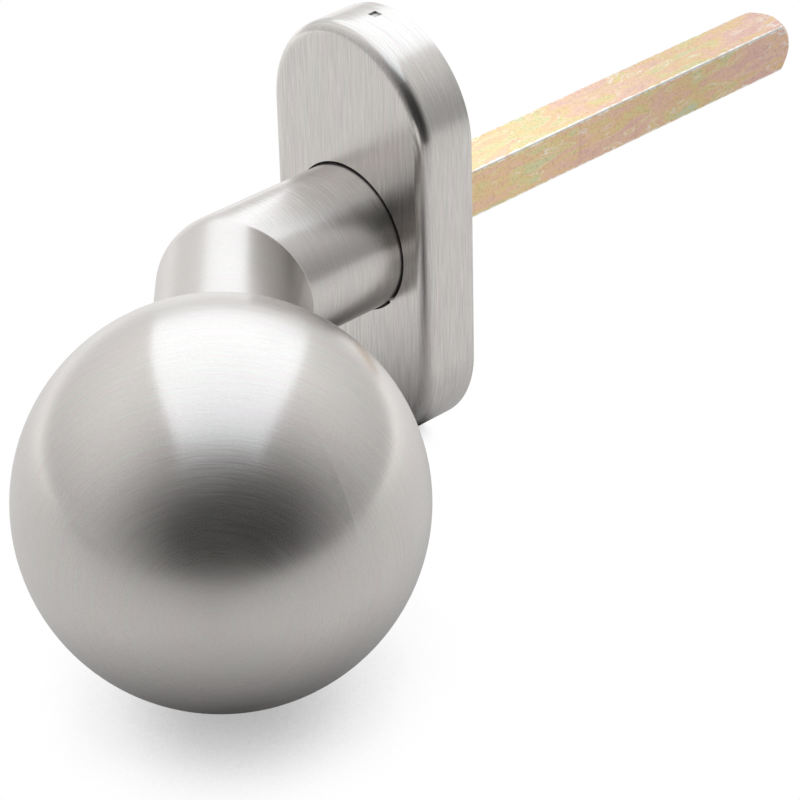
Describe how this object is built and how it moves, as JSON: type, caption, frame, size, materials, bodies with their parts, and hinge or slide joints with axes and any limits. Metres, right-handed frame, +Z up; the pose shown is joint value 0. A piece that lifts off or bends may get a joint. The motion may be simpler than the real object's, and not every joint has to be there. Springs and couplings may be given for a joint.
{
  "type": "fixed door knob",
  "caption": "Fixed ball knob on a cranked tube neck, with an oval clip-on rose and a square spindle with a turned end.",
  "frame": {"origin": "where the spindle's axis meets the door's face, midway between the fixing holes, in the plane of the rose's back", "axes": "+Y into the door along the spindle, -Y towards the hand, +Z up along the rose, +X the way the neck is cranked"},
  "size_m": [0.0849, 0.183, 0.068],
  "materials": {
    "ball_satin": "satin brushed stainless steel, grain round the ball",
    "neck_satin": "satin brushed stainless steel, grain across the tube",
    "cover_satin": "satin brushed stainless steel, upright grain",
    "turned_steel": "plain turned stainless steel",
    "bright_steel": "bright drawn steel",
    "spring_steel": "phosphated spring steel",
    "chromated_steel": "zinc plated steel, yellow chromated",
    "cast_zinc": "bare zinc die casting",
    "black_nylon": "moulded black nylon"
  },
  "bodies": {
    "root": {"ball": "ball_satin", "cranked_neck": "neck_satin", "rose_cover": "cover_satin", "guide_ring": "black_nylon", "locking_pin": "bright_steel", "base_plate": "cast_zinc", "hub": "turned_steel", "washer": "bright_steel", "retaining_ring": "spring_steel", "spindle": "chromated_steel", "spindle_pin": "spring_steel"}
  },
  "joints": []
}
